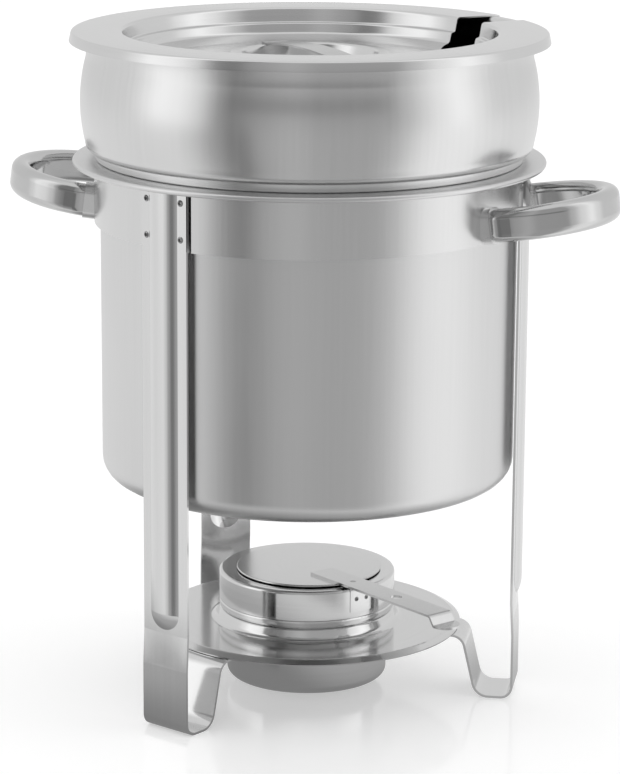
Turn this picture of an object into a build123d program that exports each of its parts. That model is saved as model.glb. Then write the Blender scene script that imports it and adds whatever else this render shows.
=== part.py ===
"""Soup chafer: a notched lid, a bulging food pan, a water pan, a stand on bent
strip legs with loop handles, and a fuel burner with a swinging snuffer.

Millimetres, +Z up. The origin is on the floor, on the axis of the pans.
+X runs through the handles.
"""
import os
from math import asin, atan2, cos, degrees, hypot, radians, sin

from build123d import *

os.makedirs("parts", exist_ok=True)

# ---------------------------------------------------------------- dimensions
pan_sheet = 1.0             # wall of both pans
lid_sheet = 0.9
strip = 1.5                 # legs, lever
plate = 1.0                 # burner and tray sheet

# water pan
water_radius = 131.4        # outside
water_bottom = 140.0
water_corner = 14.0
rim_top = 345.0             # flat rim that the food pan sits on
rim_neck = 2.5              # bend between wall and rim
rim_bead = 1.7
rim_radius = 148.7          # over the bead

# food pan
inset_radius = 123.0        # part that hangs inside the water pan
inset_bottom = 166.0
inset_corner = 10.0
inset_shoulder = 6.0
bowl_seat_radius = 134.6    # ring that rests on the rim
bowl_corner = 6.0
foot_ring_height = 5.0      # upright ring between the rim and the belly
foot_ring_corner = 1.2
well_top = 333.0            # the sheet is drawn in two nodes that meet at this height
belly_radius = 143.5
belly_height = 381.0
mouth_radius = 139.6
mouth_height = 409.0
lip_radius = 147.5
lip_bead = 1.1

# lid
lid_top = 424.6
lid_radius = 150.0
skirt_bottom = 418.5
skirt_taper = 1.3           # the skirt flares by this towards its lower edge
flange_inner = 117.0
wall_foot = 115.3
wall_foot_height = 415.4
step_inner = 112.6
step_height = 414.6
floor_wall = 111.2
floor_wall_height = 408.4
floor_outer = 99.0
floor_height = 405.0
grip_radius = 50.0
grip_height = 411.0
dimple_radius = 42.0
dimple_floor = 402.0
dimple_slope = 4.0
notch_angle = 46.0
notch_width = 30.0
notch_inner = 99.0
notch_round = 12.0
strap_angle = -42.5
strap_width = 17.0
strap_length = 93.0
strap_rise = 2.4
strap_sheet = 1.2

# stand
band_radius = 135.2
band_sheet = 1.2
band_bottom = 305.0
band_gap = 2.2
band_gap_angle = -104.2
leg_angles = {"leg_right": 8.4, "leg_rear": 132.0, "leg_front": 247.6}
leg_width = 36.0
leg_top = 341.0
leg_flat_top = 42.0         # below this the strip is flat, above 64 it follows the band
leg_curved_from = 64.0
rib_width = 22.8
rib_rise = 2.8
rib_end = 65.8
foot_inner = 112.3          # inner side of the U foot at the floor
step_outer = 103.0          # the strip steps up under the tray in two short slopes
step_middle = 95.0
step_upper = 91.0
leg_inner_end = 76.0
tray_step = 4.7             # drop of the strip below the tray floor at the tray's edge
rivet_offset = 13.6
rivet_heights = (312.6, 334.8)
rivet_shank = 1.5
rivet_head = 2.1
rivet_rise = 0.8
rivet_hollow = 1.15
rivet_hollow_depth = 1.3

# handles
handle_angles = {"left": 180.0, "right": 0.0}
handle_spread = 19.6        # half the angle between a handle's two ends
handle_height = 316.5       # middle of the tube at the band
handle_reach = 192.0        # middle of the tube at the tip
handle_lift = 9.2           # rise of the tip over the ends
handle_root = 9.0           # straight run out of the band before the tube turns
handle_root_bend = 14.0
tube_tall = 20.5
tube_thick = 12.6
tube_wall = 1.0
collar_length = 6.4
collar_wall = 1.1
screw_shank = 2.0
screw_head = 4.0
screw_head_rise = 1.4
screw_head_bevel = 0.8
screw_length = 8.0          # beyond the band

# tray
tray_radius = 99.6
tray_lip_radius = 95.0
tray_floor = 44.4           # upper face
tray_lip_bottom = 41.2
hub_base_radius = 59.4
hub_radius = 56.0
hub_top = 51.2
hub_hole = 52.4

# burner
cup_radius = 51.6
cup_bottom = 6.0
cup_corner = 5.0
cup_ring_radius = 56.6
cup_ring_top = 57.0
cap_radius = 56.7
cap_top = 76.2
cap_plug_radius = 48.6
cap_plug_depth = 2.5
flame_radius = 36.0
disc_radius = 46.5
disc_top = 78.0
disc_shift = 1.8            # the disc sits a little towards its lever
lever_angle = -33.5
lever_width = 17.5
lever_inner = 32.0          # from pivot back to the root
lever_outer = 83.0          # from pivot to the bend
lever_drop = 5.5
lever_tip = 15.0
lever_slope = 4.0
lever_hole = 3.8
lever_hole_at = 42.0
pivot_angle = -38.5
pivot_radius = 52.3
pivot_shank = 2.0
pivot_head = 3.2
pivot_head_height = 1.1
bracket_angle = -35.1
bracket_width = 16.5
bracket_drop = 15.5
bracket_sheet = 0.6
bracket_inner = 48.4
bracket_rivet_spread = 3.9
bracket_rivet_drop = 7.0

beyond = 50.0               # length of a cut that must pass right through


def save(builder, name):
    """Label a finished piece and write its STEP file."""
    builder.part.label = name
    export_step(builder.part, f"parts/{name}.step")


def radial_plane(angle, height=0.0):
    """Plane whose local X points outwards at an angle and local Y points up."""
    out = Vector(cos(radians(angle)), sin(radians(angle)), 0)
    side = Vector(sin(radians(angle)), -cos(radians(angle)), 0)
    return Plane(origin=(0, 0, height), x_dir=out, z_dir=side)


def outward_plane(angle, height, radius=100.0):
    """Plane at a radius whose normal points straight out at an angle."""
    out = Vector(cos(radians(angle)), sin(radians(angle)), 0)
    return Plane(origin=out * radius + Vector(0, 0, height), z_dir=out)


def radial_axis(angle, height):
    """Axis that runs straight out from the middle at an angle and a height."""
    out = (cos(radians(angle)), sin(radians(angle)), 0)
    return Axis((0, 0, height), out)


# ----------------------------------------------------------------- water pan
with BuildPart() as water_pan:
    rim_under = rim_top - pan_sheet
    bead_middle = rim_radius - rim_bead
    with BuildSketch(Plane.XZ):
        with BuildLine():
            FilletPolyline(
                (0, water_bottom),
                (water_radius, water_bottom),
                (water_radius, rim_under),
                (bead_middle, rim_under),
                radius=[water_corner, rim_neck],
            )
            offset(amount=pan_sheet, side=Side.LEFT)
        make_face()
        with Locations((bead_middle, rim_top - rim_bead)):
            Circle(rim_bead)
    revolve(axis=Axis.Z)
save(water_pan, "water_pan")

# ------------------------------------------------------------------ food pan
with BuildPart() as food_pan:
    lip_under = lid_top - lid_sheet - pan_sheet
    ring_top = rim_top + foot_ring_height
    with BuildSketch(Plane.XZ):
        with BuildLine():
            seat = FilletPolyline(
                (inset_radius, well_top),
                (inset_radius, rim_top),
                (bowl_seat_radius, rim_top),
                (bowl_seat_radius, ring_top),
                radius=[inset_shoulder, foot_ring_corner],
            )
            corner = RadiusArc(
                seat @ 1,
                (bowl_seat_radius + bowl_corner, ring_top + bowl_corner),
                -bowl_corner,
            )
            belly = ThreePointArc(
                corner @ 1,
                (belly_radius, belly_height),
                (mouth_radius, mouth_height),
            )
            FilletPolyline(
                belly @ 1,
                (mouth_radius - 0.6, lip_under),
                (lip_radius - lip_bead, lip_under),
                radius=4.0,
            )
            offset(amount=pan_sheet, side=Side.LEFT)
        make_face()
        with Locations((lip_radius - lip_bead, lip_under + pan_sheet - lip_bead)):
            Circle(lip_bead)
    revolve(axis=Axis.Z)
save(food_pan, "food_pan")

# Lower part of the same pan, which hangs in the water
with BuildPart() as food_pan_well:
    with BuildSketch(Plane.XZ):
        with BuildLine():
            FilletPolyline(
                (0, inset_bottom),
                (inset_radius, inset_bottom),
                (inset_radius, well_top),
                radius=inset_corner,
            )
            offset(amount=pan_sheet, side=Side.LEFT)
        make_face()
    revolve(axis=Axis.Z)
save(food_pan_well, "food_pan_well")

# ----------------------------------------------------------------------- lid
with BuildPart() as lid:
    with BuildSketch(Plane.XZ):
        with BuildLine():
            FilletPolyline(
                (0, dimple_floor),
                (dimple_radius - dimple_slope, dimple_floor),
                (dimple_radius, grip_height),
                (grip_radius, grip_height),
                (grip_radius + 1.5, floor_height),
                (floor_outer, floor_height),
                (floor_wall, floor_wall_height),
                (step_inner, step_height),
                (wall_foot, wall_foot_height),
                (flange_inner, lid_top),
                (lid_radius - skirt_taper, lid_top),
                (lid_radius, skirt_bottom),
                radius=[3, 1.6, 1.4, 1.8, 6, 3, 1.2, 1.2, 2.4, 1.6],
            )
            offset(amount=lid_sheet, side=Side.RIGHT)
        make_face()
    revolve(axis=Axis.Z)
    with BuildSketch(Plane.XY.offset(lid_top - beyond).rotated((0, 0, notch_angle))):
        with Locations((notch_inner + beyond, 0)):
            RectangleRounded(2 * beyond, notch_width, notch_round)
    extrude(amount=2 * beyond, mode=Mode.SUBTRACT)
save(lid, "lid")

# A bridge across the dimple that fingers reach under
with BuildPart() as grip_strap:
    strap_half = strap_length / 2
    strap_foot = 5.0
    with BuildSketch(radial_plane(strap_angle)):
        with BuildLine():
            Line((-strap_half, grip_height), (strap_foot - strap_half, grip_height))
            ThreePointArc(
                (strap_foot - strap_half, grip_height),
                (0, grip_height + strap_rise),
                (strap_half - strap_foot, grip_height),
            )
            Line((strap_half - strap_foot, grip_height), (strap_half, grip_height))
            offset(amount=strap_sheet, side=Side.LEFT)
        make_face()
    extrude(amount=strap_width / 2, both=True)
save(grip_strap, "grip_strap")

# ------------------------------------------------------------ band and rivets
rivet_spread = degrees(asin(rivet_offset / band_radius))
rivet_angles = [a + s * rivet_spread for a in leg_angles.values() for s in (-1, 1)]
screw_angles = [a + s * handle_spread for a in handle_angles.values() for s in (-1, 1)]
fit = 0.05                  # radial clearance of a pin in its hole

with BuildPart() as frame_band:
    with BuildSketch(Plane.XY.offset(band_bottom)):
        Circle(band_radius)
        Circle(band_radius - band_sheet, mode=Mode.SUBTRACT)
        with PolarLocations(band_radius, 1, start_angle=band_gap_angle):
            Rectangle(8 * band_sheet, band_gap, mode=Mode.SUBTRACT)
    extrude(amount=rim_top - pan_sheet - band_bottom)
    for angle in rivet_angles:
        for height in rivet_heights:
            with BuildSketch(outward_plane(angle, height)):
                Circle(rivet_shank + fit)
            extrude(amount=beyond, mode=Mode.SUBTRACT)
    for angle in screw_angles:
        with BuildSketch(outward_plane(angle, handle_height)):
            Circle(screw_shank + fit)
        extrude(amount=beyond, mode=Mode.SUBTRACT)
save(frame_band, "frame_band")


def rivet_profile(inside, outside, shank, head, rise, hollow, hollow_depth):
    """Half section of a tubular rivet along X, from its flat tail to its hollow head."""
    ball = (head**2 + rise**2) / (2 * rise)
    half_turn = asin(head / ball) / 2
    with BuildSketch() as profile:
        with BuildLine():
            Polyline(
                (outside + rise, 0),
                (inside - rise / 2, 0),
                (inside - rise / 2, head),
                (inside, head),
                (inside, shank),
                (outside, shank),
                (outside, head),
            )
            ThreePointArc(
                (outside, head),
                (outside + rise - ball * (1 - cos(half_turn)), ball * sin(half_turn)),
                (outside + rise, 0),
            )
        make_face()
        with Locations((outside + rise, 0)):
            Rectangle(2 * hollow_depth, 2 * hollow, mode=Mode.SUBTRACT)
    return profile.sketch


with BuildPart() as leg_rivets:
    skin = 0.02             # heads stand off the curved sheet by this
    rivet_section = rivet_profile(
        band_radius - band_sheet - skin,
        band_radius + strip + skin,
        rivet_shank,
        rivet_head,
        rivet_rise,
        rivet_hollow,
        rivet_hollow_depth,
    )
    for angle in rivet_angles:
        for height in rivet_heights:
            with BuildSketch(radial_plane(angle, height)):
                add(rivet_section)
            revolve(axis=radial_axis(angle, height))
save(leg_rivets, "leg_rivets")

# ---------------------------------------------------------------------- legs
# The strip lies against the band, stands straight down, turns up in a U foot
# and runs in under the tray. Its rib is pressed out, hollow behind.
strip_face = band_radius + strip
rib_sag = strip_face - (strip_face**2 - (rib_width / 2) ** 2) ** 0.5
rib_drop = rib_rise + rib_sag
rib_round = ((rib_width / 2) ** 2 + rib_drop**2) / (2 * rib_drop)
rib_axis = strip_face + rib_rise - rib_round
rib_from = rib_end + rib_width / 2
rib_sheet = 1.3


def band_section():
    """Cross section of a leg where it follows the curve of the band."""
    with BuildSketch() as section:
        Circle(strip_face)
        Circle(band_radius, mode=Mode.SUBTRACT)
        with Locations((band_radius, 0)):
            Rectangle(leg_width, leg_width, mode=Mode.INTERSECT)
    return section.sketch


def rib_bar(radius):
    """Upright round bar with a ball end, whose outermost sliver is the rib."""
    with BuildPart() as bar:
        with Locations((rib_axis, 0, rib_from)):
            Cylinder(radius, leg_top - rib_from, align=(Align.CENTER, Align.CENTER, Align.MIN))
            Sphere(radius)
    return bar.part


curved_section = band_section()
rib_outside = rib_bar(rib_round)
rib_inside = rib_bar(rib_round - rib_sheet)

for name, angle in leg_angles.items():
    ground = Plane.XY.rotated((0, 0, angle))
    with BuildPart() as leg:
        with Locations(Location(ground)):
            add(rib_outside)
        Cylinder(
            band_radius + strip / 2,
            leg_top,
            align=(Align.CENTER, Align.CENTER, Align.MIN),
            mode=Mode.SUBTRACT,
        )
        with BuildSketch(ground.offset(leg_curved_from)):
            add(curved_section)
        extrude(amount=leg_top - leg_curved_from)
        with BuildSketch(ground.offset(leg_curved_from)):
            add(curved_section)
        with BuildSketch(ground.offset(leg_flat_top)):
            with Locations((band_radius + strip / 2, 0)):
                Rectangle(strip, leg_width)
        loft()
        with BuildSketch(radial_plane(angle)):
            with BuildLine():
                FilletPolyline(
                    (strip_face, leg_flat_top),
                    (strip_face, 0),
                    (foot_inner, 0),
                    (step_outer, tray_floor - tray_step),
                    (step_middle, tray_floor - tray_step),
                    (step_upper, tray_floor - plate - strip),
                    (leg_inner_end, tray_floor - plate - strip),
                    radius=[8, 11, 8, 2, 2],
                )
                offset(amount=strip, side=Side.RIGHT)
            make_face()
        extrude(amount=leg_width / 2, both=True)
        with Locations(Location(ground)):
            add(rib_inside, mode=Mode.SUBTRACT)
        for side in (-1, 1):
            for height in rivet_heights:
                with BuildSketch(outward_plane(angle + side * rivet_spread, height)):
                    Circle(rivet_shank + fit)
                extrude(amount=beyond, mode=Mode.SUBTRACT)
    save(leg, name)

# ------------------------------------------------------------------- handles
end_out = band_radius * cos(radians(handle_spread))
end_side = band_radius * sin(radians(handle_spread))
arm_out = handle_root * cos(radians(handle_spread))
arm_side = end_side + handle_root * sin(radians(handle_spread))
handle_tilt = degrees(atan2(handle_lift, handle_reach - end_out))
bend_start = hypot(handle_reach - end_out, handle_lift) - arm_side
buried = 8.0                # length of tube drawn inside the band, then cut off
collar_base = 1.5           # thickness of a collar between tube and band


def handle_plane(angle):
    """Tilted plane of a handle loop, its origin between the two ends."""
    out, up = Vector(cos(radians(angle)), sin(radians(angle)), 0), Vector(0, 0, 1)
    tilt = radians(handle_tilt)
    return Plane(
        origin=out * end_out + up * handle_height,
        x_dir=out * cos(tilt) + up * sin(tilt),
        z_dir=up * cos(tilt) - out * sin(tilt),
    )


def tube_outline(grow):
    """Outline of the flattened tube, grown or shrunk all round."""
    width, height = tube_thick + 2 * grow, tube_tall + 2 * grow
    RectangleRounded(width, height, width * 0.46)


def tube_end_plane(loop, side):
    """Plane across one end of a handle, where its tube runs straight out of the band."""
    out = loop.x_dir * cos(radians(handle_spread))
    along = out + loop.y_dir * side * sin(radians(handle_spread))
    centre = loop.from_local_coords((0, side * end_side, 0))
    return Plane(origin=centre - along * buried, x_dir=along.cross(loop.z_dir), z_dir=along)


def cut_inside(radius):
    """Cut away everything nearer to the axis than a radius."""
    with Locations((0, 0, handle_height)):
        Cylinder(radius, 2 * beyond, mode=Mode.SUBTRACT)


for place, angle in handle_angles.items():
    loop = handle_plane(angle)
    with BuildPart() as handle:
        hidden_out = -buried * cos(radians(handle_spread))
        hidden_side = end_side - buried * sin(radians(handle_spread))
        with BuildLine(loop):
            near_arm = FilletPolyline(
                (hidden_out, -hidden_side),
                (arm_out, -arm_side),
                (bend_start, -arm_side),
                radius=handle_root_bend,
            )
            tip = ThreePointArc(
                near_arm @ 1,
                (bend_start + arm_side, 0),
                (bend_start, arm_side),
            )
            FilletPolyline(
                tip @ 1,
                (arm_out, arm_side),
                (hidden_out, hidden_side),
                radius=handle_root_bend,
            )
        with BuildSketch(tube_end_plane(loop, -1)):
            tube_outline(0)
            with BuildSketch(mode=Mode.PRIVATE) as bore:
                tube_outline(-tube_wall)
            add(bore.sketch, mode=Mode.SUBTRACT)
        sweep()
        cut_inside(band_radius + collar_base)
    save(handle, f"handle_{place}")
    for end, side in (("a", -1), ("b", 1)):
        screw_angle = angle + side * handle_spread
        with BuildPart() as collar:
            with BuildSketch(tube_end_plane(loop, side)):
                tube_outline(collar_wall)
            extrude(amount=buried + collar_length)
            with BuildSketch(tube_end_plane(loop, side)):
                tube_outline(0)
            seat = extrude(amount=buried + collar_length, mode=Mode.PRIVATE)
            with BuildSketch(tube_end_plane(loop, side)):
                tube_outline(-tube_wall)
            plug = extrude(amount=buried + collar_length, mode=Mode.PRIVATE)
            with BuildPart(mode=Mode.PRIVATE) as core:
                with Locations((0, 0, handle_height)):
                    Cylinder(band_radius + collar_base, 2 * beyond)
            add(seat - core.part, mode=Mode.SUBTRACT)
            add(plug)
            cut_inside(band_radius)
            with BuildSketch(outward_plane(screw_angle, handle_height)):
                Circle(screw_shank + fit)
            extrude(amount=beyond, mode=Mode.SUBTRACT)
        save(collar, f"handle_collar_{place}_{end}")

with BuildPart() as handle_screws:
    for angle in screw_angles:
        with BuildSketch(radial_plane(angle, handle_height)):
            with BuildLine():
                face = band_radius - band_sheet - 0.1
                Polyline(
                    (face - screw_head_rise, 0),
                    (face - screw_head_rise, screw_head - screw_head_bevel),
                    (face - screw_head_rise + screw_head_bevel, screw_head),
                    (face, screw_head),
                    (face, screw_shank),
                    (band_radius + screw_length, screw_shank),
                    (band_radius + screw_length, 0),
                    close=True,
                )
            make_face()
        revolve(axis=radial_axis(angle, handle_height))
save(handle_screws, "handle_screws")

# ---------------------------------------------------------------------- tray
with BuildPart() as fuel_tray:
    with BuildSketch(Plane.XZ):
        with BuildLine():
            FilletPolyline(
                (hub_hole, hub_top),
                (hub_radius, hub_top),
                (hub_base_radius, tray_floor),
                (tray_lip_radius, tray_floor),
                (tray_radius, tray_lip_bottom + plate),
                radius=[1.5, 4.5, 3],
            )
            offset(amount=plate, side=Side.RIGHT)
        make_face()
    revolve(axis=Axis.Z)
save(fuel_tray, "fuel_tray")

# -------------------------------------------------------------------- burner
with BuildPart() as burner_cup:
    with BuildSketch(Plane.XZ):
        with BuildLine():
            FilletPolyline(
                (0, cup_bottom),
                (cup_radius, cup_bottom),
                (cup_radius, hub_top),
                (cup_ring_radius, hub_top),
                (cup_ring_radius, cup_ring_top),
                (cup_ring_radius - 3, cup_ring_top),
                radius=[cup_corner, 0.6, 2.3, 1.6],
            )
            offset(amount=plate, side=Side.LEFT)
        make_face()
    revolve(axis=Axis.Z)
save(burner_cup, "burner_cup")

pivot_x = pivot_radius * cos(radians(pivot_angle))
pivot_y = pivot_radius * sin(radians(pivot_angle))
bracket_half_angle = degrees(asin(bracket_width / 2 / cap_radius))
bracket_rivet_angles = [bracket_angle + s * bracket_rivet_spread for s in (-1, 1)]
bracket_rivet_height = cap_top - bracket_rivet_drop
bracket_rivet_shank = 0.9

with BuildPart() as burner_cap:
    with BuildSketch(Plane.XZ):
        with BuildLine():
            FilletPolyline(
                (flame_radius, cap_top),
                (cap_radius, cap_top),
                (cap_radius, cup_ring_top),
                radius=2.0,
            )
            offset(amount=plate, side=Side.RIGHT)
        make_face()
        with BuildLine():
            Polyline(
                (cap_plug_radius - plate, cap_top - plate),
                (cap_plug_radius, cap_top - plate),
                (cap_plug_radius, cup_ring_top - cap_plug_depth),
                (cap_plug_radius - plate, cup_ring_top - cap_plug_depth),
                close=True,
            )
        make_face()
    revolve(axis=Axis.Z)
    for angle in bracket_rivet_angles:
        with BuildSketch(outward_plane(angle, bracket_rivet_height, bracket_inner)):
            Circle(bracket_rivet_shank + fit)
        extrude(amount=beyond, mode=Mode.SUBTRACT)
    with BuildSketch(Plane.XY.offset(cap_top - 2 * plate)):
        with Locations((pivot_x, pivot_y)):
            Circle(pivot_shank + fit)
    extrude(amount=4 * plate, mode=Mode.SUBTRACT)
save(burner_cap, "burner_cap")

with BuildPart() as lever_bracket:
    with BuildSketch(radial_plane(bracket_angle - bracket_half_angle)):
        with BuildLine():
            FilletPolyline(
                (cap_radius + bracket_sheet, cap_top - bracket_drop),
                (cap_radius + bracket_sheet, cap_top + bracket_sheet),
                (bracket_inner, cap_top + bracket_sheet),
                radius=2.6,
            )
            offset(amount=bracket_sheet, side=Side.LEFT)
        make_face()
    revolve(axis=Axis.Z, revolution_arc=2 * bracket_half_angle)
    for angle in bracket_rivet_angles:
        with BuildSketch(outward_plane(angle, bracket_rivet_height, bracket_inner)):
            Circle(bracket_rivet_shank + fit)
        extrude(amount=beyond, mode=Mode.SUBTRACT)
    with BuildSketch(Plane.XY.offset(cap_top - 2 * plate)):
        with Locations((pivot_x, pivot_y)):
            Circle(pivot_shank + fit)
    extrude(amount=4 * plate, mode=Mode.SUBTRACT)
save(lever_bracket, "lever_bracket")

with BuildPart() as bracket_rivets:
    bracket_rivet_section = rivet_profile(
        cap_radius - plate - 0.03,
        cap_radius + bracket_sheet + 0.01,
        bracket_rivet_shank,
        1.5,
        0.6,
        0.6,
        0.8,
    )
    for angle in bracket_rivet_angles:
        with BuildSketch(radial_plane(angle, bracket_rivet_height)):
            add(bracket_rivet_section)
        revolve(axis=radial_axis(angle, bracket_rivet_height))
save(bracket_rivets, "bracket_rivets")

# ------------------------------------------------------------------- snuffer
with BuildPart() as snuffer_disc:
    shift = Vector(cos(radians(lever_angle)), sin(radians(lever_angle))) * disc_shift
    with BuildSketch(Plane.XY.offset(disc_top - plate)):
        with Locations((shift.X, shift.Y)):
            Circle(disc_radius)
    extrude(amount=plate)
    fillet(snuffer_disc.edges().group_by(Axis.Z)[-1], radius=0.5)
save(snuffer_disc, "snuffer_disc")

# The lever lies on the disc, passes over the rim and steps down to its tab.
lever_out = Vector(cos(radians(lever_angle)), sin(radians(lever_angle)), 0)
lever_side = Vector(sin(radians(lever_angle)), -cos(radians(lever_angle)), 0)
lever_upright = Plane(
    origin=(pivot_x, pivot_y, disc_top),
    x_dir=lever_out,
    z_dir=lever_side,
)
lever_flat = Plane(
    origin=(pivot_x, pivot_y, disc_top - 2 * lever_drop),
    x_dir=lever_out,
    z_dir=(0, 0, 1),
)
lever_end = lever_outer + lever_tip
with BuildPart() as snuffer_lever:
    with BuildSketch(lever_upright):
        with BuildLine():
            FilletPolyline(
                (-lever_inner, 0),
                (lever_outer, 0),
                (lever_outer + lever_slope, -lever_drop),
                (lever_end, -lever_drop),
                radius=2.0,
            )
            offset(amount=strip, side=Side.LEFT)
        make_face()
    extrude(amount=lever_width / 2, both=True)
    with BuildSketch(lever_flat):
        with Locations(((lever_end - lever_width / 2 - lever_inner) / 2, 0)):
            Rectangle(lever_end - lever_width / 2 + lever_inner, lever_width)
        with Locations((lever_end - lever_width / 2, 0)):
            Circle(lever_width / 2)
        with Locations((lever_hole_at, 0)):
            Circle(lever_hole, mode=Mode.SUBTRACT)
        Circle(pivot_shank, mode=Mode.SUBTRACT)
    extrude(amount=4 * lever_drop, mode=Mode.INTERSECT)
save(snuffer_lever, "snuffer_lever")

# Pin fixed in the lever that turns in the bracket and the cap
with BuildPart() as pivot_pin:
    pivot_foot = cap_top - plate - 0.3
    with BuildSketch(Plane(origin=(pivot_x, pivot_y, 0), x_dir=(1, 0, 0), z_dir=(0, -1, 0))):
        with BuildLine():
            Polyline(
                (0, pivot_foot - pivot_head_height),
                (pivot_head, pivot_foot - pivot_head_height),
                (pivot_head, pivot_foot),
                (pivot_shank, pivot_foot),
                (pivot_shank, cap_top + bracket_sheet + 0.2),
                (pivot_head, cap_top + bracket_sheet + 0.2),
                (pivot_head, disc_top),
                (pivot_shank, disc_top),
                (pivot_shank, disc_top + strip),
                (0, disc_top + strip),
                close=True,
            )
        make_face()
    revolve(axis=Axis((pivot_x, pivot_y, 0), (0, 0, 1)))
save(pivot_pin, "pivot_pin")
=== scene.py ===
from math import cos, pi, radians, sin, tan

import bmesh
import bpy
from mathutils import Matrix, Vector


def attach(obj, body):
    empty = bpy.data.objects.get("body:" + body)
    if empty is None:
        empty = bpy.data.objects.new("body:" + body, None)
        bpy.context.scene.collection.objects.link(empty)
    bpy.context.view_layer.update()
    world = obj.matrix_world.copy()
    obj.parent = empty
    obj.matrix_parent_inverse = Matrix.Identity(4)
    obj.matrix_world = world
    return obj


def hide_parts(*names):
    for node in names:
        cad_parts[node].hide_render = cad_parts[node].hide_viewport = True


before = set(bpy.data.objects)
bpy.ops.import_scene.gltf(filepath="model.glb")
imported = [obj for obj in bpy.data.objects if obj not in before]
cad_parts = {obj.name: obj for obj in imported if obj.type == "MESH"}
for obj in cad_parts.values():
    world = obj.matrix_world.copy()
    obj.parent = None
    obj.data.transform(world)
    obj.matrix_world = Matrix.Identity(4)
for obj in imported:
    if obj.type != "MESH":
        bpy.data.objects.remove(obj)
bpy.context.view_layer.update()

# The camera stands this far round from the front, away from and above the stand.
CAMERA_AZIMUTH = radians(17.5)
CAMERA_DISTANCE = 1.9858
CAMERA_HEIGHT = 0.674
CAMERA_PITCH = radians(13.54)
CAMERA_LENS = 148.6
CAMERA_ROLL = radians(0.35)
CAMERA_YAW = radians(-0.036)


# ------------------------------------------------------------------ materials
class Nodes:
    """Short way to write a node tree."""

    def __init__(self, tree):
        self.tree = tree

    def add(self, kind, **settings):
        node = self.tree.nodes.new(kind)
        for name, value in settings.items():
            setattr(node, name, value)
        return node

    def link(self, source, target):
        self.tree.links.new(source, target)

    def math(self, operation, a, b=None):
        node = self.add("ShaderNodeMath", operation=operation)
        for socket, value in zip(node.inputs, (a, b)):
            if value is None:
                continue
            if isinstance(value, (int, float)):
                socket.default_value = value
            else:
                self.link(value, socket)
        return node.outputs[0]

    def ramp(self, factor, stops, interpolation="EASE"):
        node = self.add("ShaderNodeValToRGB")
        node.color_ramp.interpolation = interpolation
        elements = node.color_ramp.elements
        while len(elements) < len(stops):
            elements.new(0.5)
        for element, (place, grey) in zip(elements, stops):
            element.position = place
            element.color = (grey, grey, grey, 1)
        self.link(factor, node.inputs[0])
        return node.outputs[0]


# How much the grain is packed together along each direction, by the kind of grain.
GRAIN_BY_TURN = {            # (turn about the axis, distance from the axis, height)
    "round": (0.01, 8.0, 8.0),      # turned: rings about the axis
    "upright": (0.9, 0.4, 0.15),    # drawn or rolled: lines that run up the wall
}
GRAIN_BY_PLACE = {           # (x, y, z)
    "along": (6.0, 6.0, 0.15),      # strip steel: lines that run down the strip
    "fine": (1.0, 1.0, 1.0),        # small parts: even in every direction
}
STREAK_SCALE = 60.0
CLOUD_SCALE = 14.0
GRAIN_HEIGHT = 0.0002


def steel(name, base, roughness, grain, grain_scale, grain_depth):
    """Stainless steel, with the kind, size and depth of its grain."""
    material = bpy.data.materials.new(name)
    material.use_nodes = True
    n = Nodes(material.node_tree)
    shader = material.node_tree.nodes["Principled BSDF"]
    shader.inputs["Metallic"].default_value = 1.0
    place = n.add("ShaderNodeTexCoord").outputs["Object"]
    split = n.add("ShaderNodeSeparateXYZ")
    n.link(place, split.inputs[0])
    x, y, z = split.outputs
    stretched = n.add("ShaderNodeCombineXYZ")
    turn = n.math("ARCTAN2", y, x)
    reach = n.math("SQRT", n.math("ADD", n.math("MULTIPLY", x, x), n.math("MULTIPLY", y, y)))
    if grain in GRAIN_BY_TURN:
        sources, sizes = (turn, reach, z), GRAIN_BY_TURN[grain]
    else:
        sources, sizes = (x, y, z), GRAIN_BY_PLACE[grain]
    for source, size, target in zip(sources, sizes, stretched.inputs):
        n.link(n.math("MULTIPLY", source, size * grain_scale), target)
    streaks = n.add("ShaderNodeTexNoise")
    streaks.inputs["Scale"].default_value = STREAK_SCALE
    streaks.inputs["Detail"].default_value = 4.0
    n.link(stretched.outputs[0], streaks.inputs["Vector"])
    clouds = n.add("ShaderNodeTexNoise")
    clouds.inputs["Scale"].default_value = CLOUD_SCALE
    clouds.inputs["Detail"].default_value = 3.0
    n.link(place, clouds.inputs["Vector"])
    # the grain varies the brightness a little and the roughness about its mean
    tint = n.ramp(streaks.outputs["Fac"], [(0.3, base * 0.985), (0.7, base * 1.012)], "LINEAR")
    n.link(tint, shader.inputs["Base Color"])
    rough = n.math(
        "ADD",
        n.math("MULTIPLY", streaks.outputs["Fac"], roughness * 0.22),
        n.math("MULTIPLY", clouds.outputs["Fac"], roughness * 0.20),
    )
    n.link(n.math("ADD", rough, roughness * 0.79), shader.inputs["Roughness"])
    bump = n.add("ShaderNodeBump")
    bump.inputs["Strength"].default_value = grain_depth
    bump.inputs["Distance"].default_value = GRAIN_HEIGHT
    n.link(streaks.outputs["Fac"], bump.inputs["Height"])
    n.link(bump.outputs[0], shader.inputs["Normal"])
    return material


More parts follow.
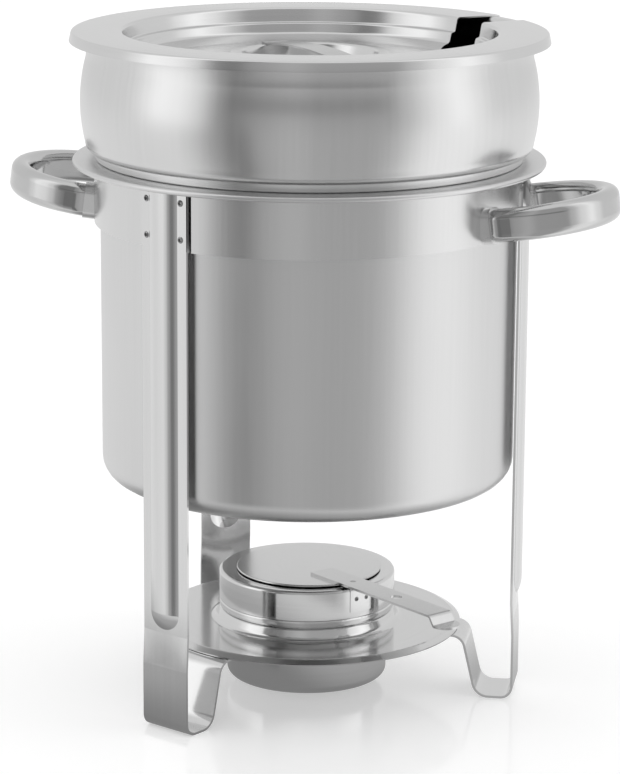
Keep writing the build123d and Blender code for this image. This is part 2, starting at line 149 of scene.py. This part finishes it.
# brightness, roughness, kind of grain, its scale and its depth
water_pan_steel = steel("water_pan_steel", 0.72, 0.34, "upright", 1.0, 0.02)
food_pan_steel = steel("food_pan_steel", 0.72, 0.23, "upright", 1.0, 0.02)
band_steel = steel("band_steel", 0.72, 0.24, "upright", 1.2, 0.03)
lid_steel = steel("lid_steel", 0.70, 0.17, "round", 1.0, 0.02)
# painted shade: the strap's steel is darker than the lid's, for the shade over the finger
# dimple
strap_steel_with_painted_shade = steel("strap_steel_with_painted_shade", 0.54, 0.20, "fine", 4.0, 0.05)
leg_steel = steel("leg_steel", 0.73, 0.13, "along", 1.0, 0.02)
handle_steel = steel("handle_steel", 0.60, 0.09, "fine", 1.0, 0.02)
# painted highlight: lighter than the handle's steel, for the bright light the flared collars
# catch
collar_steel_with_painted_highlight = steel("collar_steel_with_painted_highlight", 0.80, 0.20, "fine", 2.0, 0.03)
tray_steel = steel("tray_steel", 0.72, 0.13, "round", 1.0, 0.02)
burner_steel = steel("burner_steel", 0.72, 0.12, "round", 1.0, 0.02)
disc_steel = steel("disc_steel", 0.72, 0.20, "round", 1.0, 0.04)
lever_steel = steel("lever_steel", 0.68, 0.20, "fine", 4.0, 0.05)
# painted shade: far darker than the other steel, for the shade in the fasteners' hollows
fastener_steel = steel("fastener_steel", 0.38, 0.22, "fine", 6.0, 0.05)

# by node name, or by the start of the name for pieces that come in sets
FINISHES = {
    "water_pan": water_pan_steel,
    "food_pan": food_pan_steel,
    "food_pan_well": food_pan_steel,
    "frame_band": band_steel,
    "lid": lid_steel,
    "grip_strap": strap_steel_with_painted_shade,
    "leg_": leg_steel,
    "leg_rivets": fastener_steel,
    "handle_screws": fastener_steel,
    "handle_collar_": collar_steel_with_painted_highlight,
    "handle_": handle_steel,
    "fuel_tray": tray_steel,
    "burner_cup": burner_steel,
    "burner_cap": burner_steel,
    "lever_bracket": burner_steel,
    "bracket_rivets": fastener_steel,
    "snuffer_disc": disc_steel,
    "snuffer_lever": lever_steel,
    "pivot_pin": fastener_steel,
}


def finish_of(node):
    """Steel of a node, by its whole name or by what its name starts with."""
    if node in FINISHES:
        return FINISHES[node]
    return next(finish for start, finish in FINISHES.items() if node.startswith(start))


for name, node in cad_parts.items():
    for material_slot in node.material_slots:
        material_slot.material = finish_of(name)


# --------------------------------------------------------------- turned pieces
# The lid and both pans again as finely turned sheet, because their long soft
# highlights show every facet. Lengths in millimetres, as (radius, height).
SEGMENTS = 288
FILLET_STEPS = 7
PAN_SHEET = 1.0
LID_SHEET = 0.9
AXIS_REACH = 1e-6            # a point nearer the axis than this is on it, in metres
CREASE = radians(28)         # a sharper edge than this stays sharp


def swung(centre, start, end, steps):
    """Points along the shorter arc about a centre, from start to end."""
    first = (start - centre).to_3d()
    angle = (end - centre).angle_signed(start - centre)
    return [
        centre + (Matrix.Rotation(angle * k / steps, 3, "Z") @ first).to_2d()
        for k in range(steps + 1)
    ]


def rounded(points, radii):
    """Line through points, with each inner corner rounded by its own radius."""
    path = [Vector(points[0])]
    for before, corner, after, radius in zip(points, points[1:], points[2:], radii):
        before, corner, after = Vector(before), Vector(corner), Vector(after)
        to_before = (before - corner).normalized()
        to_after = (after - corner).normalized()
        half = to_before.angle(to_after) / 2
        middle = corner + (to_before + to_after).normalized() * (radius / sin(half))
        run = radius / tan(half)
        path += swung(middle, corner + to_before * run, corner + to_after * run, FILLET_STEPS)
    path.append(Vector(points[-1]))
    return path


def arc_through(first, middle, last, steps=24):
    """Points along the arc through three points."""
    a, b, c = Vector(first), Vector(middle), Vector(last)
    u, v = b - a, c - a
    cross = 2 * (u.x * v.y - u.y * v.x)
    centre = a + Vector((
        (v.y * u.length_squared - u.y * v.length_squared) / cross,
        (u.x * v.length_squared - v.x * u.length_squared) / cross,
    ))
    return swung(centre, a, c, steps)


def beside(path, amount):
    """Path shifted sideways: to its left, or to its right for a negative amount."""
    sides = [Vector((a.y - b.y, b.x - a.x)).normalized() for a, b in zip(path, path[1:])]
    shifted = []
    for point, one, other in zip(path, sides[:1] + sides, sides + sides[-1:]):
        side = (one + other).normalized()
        shifted.append(point + side * (amount / max(side.dot(one), 0.5)))
    return shifted


def bead(centre, radius, start, end, steps=20):
    """Points round a rolled edge, between two angles in degrees."""
    turns = [radians(start + (end - start) * k / steps) for k in range(steps + 1)]
    return [Vector(centre) + Vector((cos(a), sin(a))) * radius for a in turns]


def turned(name, section):
    """Object made by turning a closed section about the upright axis."""
    bm = bmesh.new()
    rings = []
    for point in section:
        reach, height = point.x / 1000, point.y / 1000
        if reach < AXIS_REACH:
            rings.append([bm.verts.new((0, 0, height))] * SEGMENTS)
            continue
        turns = [2 * pi * k / SEGMENTS for k in range(SEGMENTS)]
        rings.append([bm.verts.new((reach * cos(a), reach * sin(a), height)) for a in turns])
    for low, high in zip(rings, rings[1:] + rings[:1]):
        for k in range(SEGMENTS):
            after = (k + 1) % SEGMENTS
            corners = dict.fromkeys((low[k], low[after], high[after], high[k]))
            if len(corners) > 2:
                bm.faces.new(corners)
    bmesh.ops.recalc_face_normals(bm, faces=bm.faces)
    mesh = bpy.data.meshes.new(name)
    bm.to_mesh(mesh)
    bm.free()
    obj = bpy.data.objects.new(name, mesh)
    bpy.context.scene.collection.objects.link(obj)
    return obj


def smooth(obj):
    """Smooth shading, with the real creases kept sharp."""
    bm = bmesh.new()
    bm.from_mesh(obj.data)
    for face in bm.faces:
        face.smooth = True
    for edge in bm.edges:
        edge.smooth = len(edge.link_faces) == 2 and edge.calc_face_angle(0) < CREASE
    bm.to_mesh(obj.data)
    bm.free()


def stand_in(obj, body, finish, slot, *nodes):
    """Put a finely turned piece in place of its CAD nodes."""
    smooth(obj)
    obj.data.materials.clear()
    obj.data.materials.append(finish)
    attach(obj, body)
    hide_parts(*nodes)


def make_water_pan():
    """Deep pan with a round bottom corner and a flat rim with a rolled edge."""
    base, wall = 140, 131.4
    rim, rim_reach = 344, 147
    outside = rounded([(0, base), (wall, base), (wall, rim), (rim_reach, rim)], [14, 2.5])
    inside = beside(outside, PAN_SHEET)
    edge = bead((rim_reach, 343.3), 1.7, -204, 90)
    pan = turned("water_pan_turned", outside[:-1] + edge + inside[-2::-1])
    stand_in(pan, "water_pan", water_pan_steel, "satin_steel", "water_pan")


def make_food_pan():
    """Inset that hangs in the water pan, a foot that rests on its rim, and the belly."""
    base, wall = 166, 123
    seat, foot, foot_top = 345, 134.6, 350
    belly_foot = (140.6, 356)
    belly_widest = (143.5, 381)
    belly_top = (139.6, 409)
    rim, rim_reach = 422.7, 146.4
    outside = rounded(
        [(0, base), (wall, base), (wall, seat), (foot, seat), (foot, foot_top)], [10, 6, 1.2]
    )
    cove = Vector((foot, belly_foot[1]))
    outside += swung(cove, Vector((foot, foot_top)), Vector(belly_foot), 12)[1:]
    outside += arc_through(belly_foot, belly_widest, belly_top)[1:]
    outside += rounded([belly_top, (139, rim), (rim_reach, rim)], [4])[1:]
    inside = beside(outside, PAN_SHEET)
    edge = bead((rim_reach, 422.6), 1.1, -185, 90)
    pan = turned("food_pan_turned", outside[:-1] + edge + inside[-2::-1])
    stand_in(pan, "food_pan", food_pan_steel, "satin_steel", "food_pan", "food_pan_well")


def make_notch():
    """Block with round inner corners, where the ladle passes through the lid."""
    inner_end, outer_end, half_width, corner = 0.099, 0.19, 0.015, 0.012     # metres
    bottom, height = 0.38, 0.07
    corner_steps = 10
    turn = Matrix.Rotation(radians(46), 4, "Z")
    corner_turns = [radians(90 * k / corner_steps) for k in range(corner_steps + 1)]
    rounding = [
        (inner_end + corner - corner * sin(a), half_width - corner + corner * cos(a))
        for a in corner_turns
    ]
    outline = [(outer_end, half_width)] + rounding
    outline += [(x, -y) for x, y in rounding[::-1]] + [(outer_end, -half_width)]
    bm = bmesh.new()
    floor = bm.faces.new([bm.verts.new(turn @ Vector((x, y, bottom))) for x, y in outline])
    raised = bmesh.ops.extrude_face_region(bm, geom=[floor])["geom"]
    raised = [part for part in raised if isinstance(part, bmesh.types.BMVert)]
    bmesh.ops.translate(bm, vec=(0, 0, height), verts=raised)
    bmesh.ops.recalc_face_normals(bm, faces=bm.faces)
    mesh = bpy.data.meshes.new("notch")
    bm.to_mesh(mesh)
    bm.free()
    notch = bpy.data.objects.new("notch", mesh)
    bpy.context.scene.collection.objects.link(notch)
    return notch


def cut_away(obj, cutter):
    """Cut one object out of another, and remove the cutter."""
    cut = obj.modifiers.new("notch", "BOOLEAN")
    cut.operation = "DIFFERENCE"
    cut.solver = "EXACT"
    cut.object = cutter
    bpy.context.view_layer.update()
    depsgraph = bpy.context.evaluated_depsgraph_get()
    cut_mesh = bpy.data.meshes.new_from_object(obj.evaluated_get(depsgraph))
    obj.modifiers.clear()
    obj.data = cut_mesh
    bpy.data.objects.remove(cutter)


def make_lid():
    """Flat flange with a turned-down skirt, a stepped recess and a finger dimple."""
    dimple, dimple_wall = 402, 38
    ring_top, ring_inner, ring_outer = 411, 42, 50
    flange, skirt, reach = 424.6, 418.5, 150
    outside = rounded(
        [
            (0, dimple), (dimple_wall, dimple), (ring_inner, ring_top), (ring_outer, ring_top),
            (51.5, 405), (99, 405), (111.2, 408.4), (112.6, 414.6), (115.3, 415.4),
            (117, flange), (reach - 1.3, flange), (reach, skirt),
        ],
        [3, 1.6, 1.4, 1.8, 6, 3, 1.2, 1.2, 2.4, 1.6],
    )
    inside = beside(outside, -LID_SHEET)
    lid = turned("lid_turned", outside + inside[::-1])
    cut_away(lid, make_notch())
    stand_in(lid, "lid", lid_steel, "satin_steel", "lid")


make_water_pan()
make_food_pan()
make_lid()


# --------------------------------------------------------------------- studio
def make_floor():
    """Plain white floor. The steel reflects the tent and the floor's shade instead."""
    mesh = bpy.data.meshes.new("floor")
    half = 15.0
    corners = [(-half, -half, 0), (half, -half, 0), (half, half, 0), (-half, half, 0)]
    mesh.from_pydata(corners, [], [(0, 1, 2, 3)])
    floor = bpy.data.objects.new("floor", mesh)
    bpy.context.scene.collection.objects.link(floor)
    material = bpy.data.materials.new("floor_white")
    material.use_nodes = True
    shader = material.node_tree.nodes["Principled BSDF"]
    shader.inputs["Base Color"].default_value = (0.92, 0.92, 0.92, 1)
    shader.inputs["Roughness"].default_value = 0.12
    shader.inputs["Emission Color"].default_value = (1, 1, 1, 1)
    shader.inputs["Emission Strength"].default_value = 0.35
    mesh.materials.append(material)
    floor.visible_glossy = False


def make_floor_shade():
    """Painted shade: a glowing grey disc, seen only in reflections, for the shaded floor under
    the stand as the low steel parts reflect it.
    """
    reach = 0.30
    bm = bmesh.new()
    bmesh.ops.create_circle(bm, cap_ends=True, segments=96, radius=reach)
    mesh = bpy.data.meshes.new("floor_shade")
    bm.to_mesh(mesh)
    bm.free()
    shade = bpy.data.objects.new("floor_shade", mesh)
    shade.location = (-0.06, -0.03, -0.0005)
    bpy.context.scene.collection.objects.link(shade)
    material = bpy.data.materials.new("floor_shade")
    material.use_nodes = True
    n = Nodes(material.node_tree)
    material.node_tree.nodes.remove(material.node_tree.nodes["Principled BSDF"])
    distance = n.add("ShaderNodeVectorMath", operation="LENGTH")
    n.link(n.add("ShaderNodeTexCoord").outputs["Object"], distance.inputs[0])
    outward = n.math("MULTIPLY", distance.outputs["Value"], 1 / reach)
    # painted shade in the reflections, darkest near the middle of the disc
    grey = n.ramp(outward, [(0.30, 0.27), (0.60, 0.46), (0.98, 0.80)])
    glow = n.add("ShaderNodeEmission")
    n.link(grey, glow.inputs["Color"])
    n.link(glow.outputs[0], material.node_tree.nodes["Material Output"].inputs["Surface"])
    mesh.materials.append(material)
    shade.visible_camera = False
    shade.visible_diffuse = False
    shade.visible_shadow = False
    shade.visible_transmission = False


def make_world():
    """Light tent: bright panels at both sides, a greyer opening at the camera."""
    world = bpy.data.worlds.new("studio")
    bpy.context.scene.world = world
    world.use_nodes = True
    n = Nodes(world.node_tree)
    split = n.add("ShaderNodeSeparateXYZ")
    n.link(n.add("ShaderNodeTexCoord").outputs["Generated"], split.inputs[0])
    x, y, z = split.outputs
    ca, sa = cos(CAMERA_AZIMUTH), sin(CAMERA_AZIMUTH)
    right = n.math("ADD", n.math("MULTIPLY", x, ca), n.math("MULTIPLY", y, sa))
    front = n.math("ADD", n.math("MULTIPLY", x, sa), n.math("MULTIPLY", y, -ca))
    turn = n.math("ARCTAN2", right, front)
    factor = n.math("ADD", n.math("MULTIPLY", turn, 1 / (2 * pi)), 0.5)

    def by_turn(stops):
        return n.ramp(factor, [(angle / 360 + 0.5, grey) for angle, grey in stops])

    # degrees from the camera's side, positive to its right, and how bright it is there
    low = [
        (-180, 0.90), (-120, 0.88), (-100, 0.86), (-70, 0.90), (-58, 0.72), (-50, 0.42),
        (-46, 0.40), (-40, 0.22), (-32, 0.21), (-26, 0.47), (-8, 0.56), (6, 0.47), (34, 0.46),
        (46, 0.62), (56, 0.95), (66, 1.10), (88, 1.12), (100, 1.00), (120, 0.92), (180, 0.90),
    ]
    high = [
        (-180, 0.76), (-120, 0.80), (-100, 0.82), (-90, 1.02), (-82, 1.28), (-68, 1.20),
        (-56, 0.95), (-49, 0.52), (-45, 0.28), (-36, 0.25), (-27, 0.42), (-8, 0.54), (6, 0.44),
        (42, 0.44), (50, 0.66), (66, 1.05), (80, 1.28), (92, 1.05), (104, 0.82), (180, 0.76),
    ]
    height = n.math("ADD", n.math("MULTIPLY", z, 0.5), 0.5)

    def mixed(amount, one, other):
        """Blend of two greys. The other one may be a plain number."""
        node = n.add("ShaderNodeMixRGB")
        n.link(amount, node.inputs[0])
        n.link(one, node.inputs[1])
        if isinstance(other, float):
            node.inputs[2].default_value = (other, other, other, 1)
        else:
            n.link(other, node.inputs[2])
        return node.outputs[0]

    tent = mixed(n.ramp(height, [(0.39, 0.0), (0.49, 1.0)]), by_turn(low), by_turn(high))
    top = n.ramp(height, [(0.92, 0.0), (0.98, 1.0)])
    # the dark edge over the camera's opening, which the upright rims reflect
    brow_width = by_turn([(-46, 0.0), (-40, 1.0), (34, 1.0), (46, 0.0)])
    brow_height = n.ramp(height, [(0.535, 0.0), (0.552, 1.0), (0.605, 1.0), (0.65, 0.0)])
    brow = n.math("MULTIPLY", n.math("MULTIPLY", brow_width, brow_height), 0.55)
    background = world.node_tree.nodes["Background"]
    n.link(mixed(brow, mixed(top, tent, 0.88), 0.13), background.inputs[0])
    background.inputs[1].default_value = 1.0


def make_camera():
    """Camera at the photograph's viewing angle."""
    data = bpy.data.cameras.new("camera")
    data.lens = CAMERA_LENS
    data.sensor_width = 36
    camera = bpy.data.objects.new("camera", data)
    bpy.context.scene.collection.objects.link(camera)
    camera.location = (
        CAMERA_DISTANCE * sin(CAMERA_AZIMUTH),
        -CAMERA_DISTANCE * cos(CAMERA_AZIMUTH),
        CAMERA_HEIGHT,
    )
    aim = (
        Matrix.Rotation(CAMERA_AZIMUTH + CAMERA_YAW, 3, "Z")
        @ Matrix.Rotation(pi / 2 - CAMERA_PITCH, 3, "X")
        @ Matrix.Rotation(CAMERA_ROLL, 3, "Z")
    )
    camera.rotation_euler = aim.to_euler()
    data.clip_end = 100
    bpy.context.scene.camera = camera


make_floor()
make_floor_shade()
make_world()
make_camera()
bpy.context.scene.view_settings.view_transform = "Standard"
